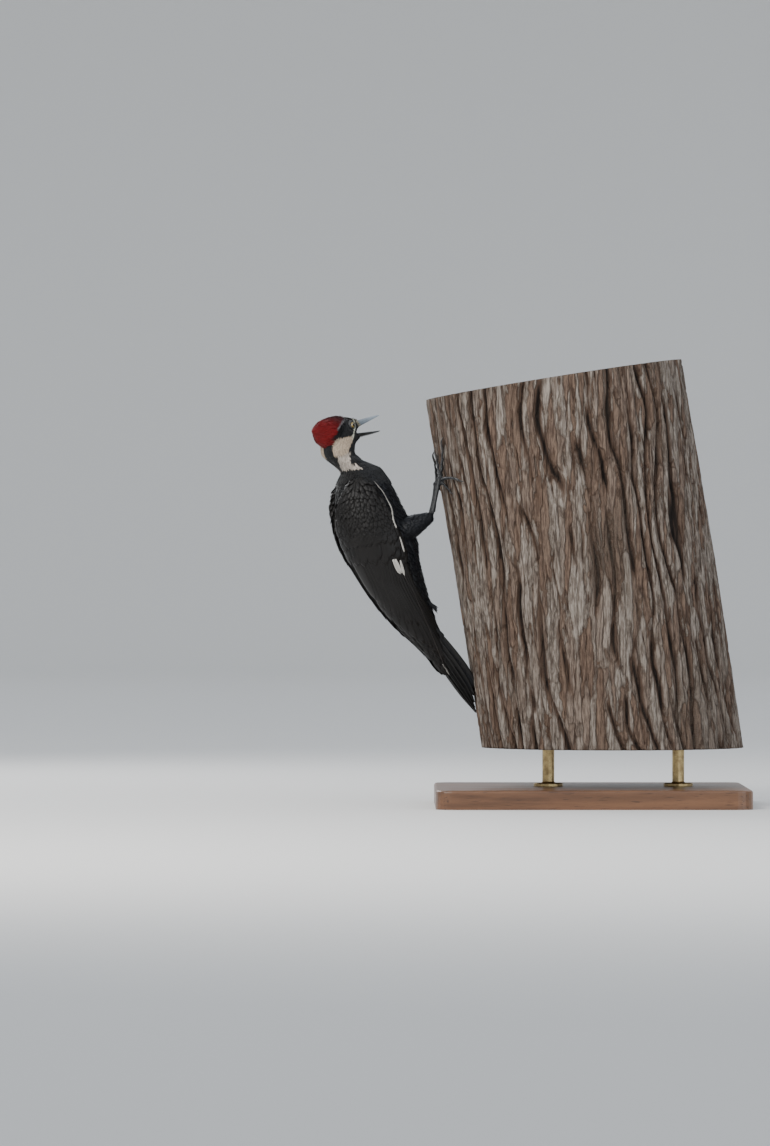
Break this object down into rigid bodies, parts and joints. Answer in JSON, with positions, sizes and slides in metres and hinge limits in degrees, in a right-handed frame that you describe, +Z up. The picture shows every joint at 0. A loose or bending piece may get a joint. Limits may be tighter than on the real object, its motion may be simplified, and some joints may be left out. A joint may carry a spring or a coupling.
{
  "type": "pileated woodpecker",
  "caption": "Life-size female pileated woodpecker clinging to a cut length of leaning trunk, bill open, held by a flat base and short rods.",
  "frame": {"origin": "centre of the display base's underside, on the floor", "axes": "+Z up; the trunk leans towards -X and the bird clings to its -X side; -Y is the side that shows the bird's right side"},
  "size_m": [0.5023, 0.32, 0.5149],
  "materials": {
    "plumage": "near-black feathers with a brown sheen on the wings and a bluish one on the breast",
    "crest_red": "long soft crimson crest feathers",
    "face": "short dense face and neck feathers, white stripes on sooty black",
    "bill": "smooth slate-grey horn with a soft gloss",
    "eye": "wet, glossy, dull yellow iris round a black pupil",
    "leg": "scaly dark grey skin",
    "claw": "dark horn, half gloss",
    "bark": "deeply furrowed grey-brown bark, clean sawn ends with growth rings",
    "stand_wood": "stained and waxed hardwood",
    "stand_metal": "brushed, aged brass"
  },
  "bodies": {
    "root": {"trunk": "plumage", "neck": "face", "head": "face", "crest": "crest_red", "bill_upper": "bill", "bill_lower": "bill", "eye_right": "eye", "eye_left": "eye", "wing_right": "plumage", "wing_left": "plumage", "tail": "plumage", "thigh_right": "plumage", "thigh_left": "plumage", "tarsus_right": "leg", "tarsus_left": "leg", "toe_hind_right": "leg", "toe_inner_right": "leg", "toe_middle_right": "leg", "toe_outer_right": "leg", "toe_hind_left": "leg", "toe_inner_left": "leg", "toe_middle_left": "leg", "toe_outer_left": "leg", "claw_hind_right": "claw", "claw_inner_right": "claw", "claw_middle_right": "claw", "claw_outer_right": "claw", "claw_hind_left": "claw", "claw_inner_left": "claw", "claw_middle_left": "claw", "claw_outer_left": "claw", "perch_log": "bark", "stand_base": "stand_wood", "stand_rod_1": "stand_metal", "stand_rod_2": "stand_metal"}
  },
  "joints": []
}
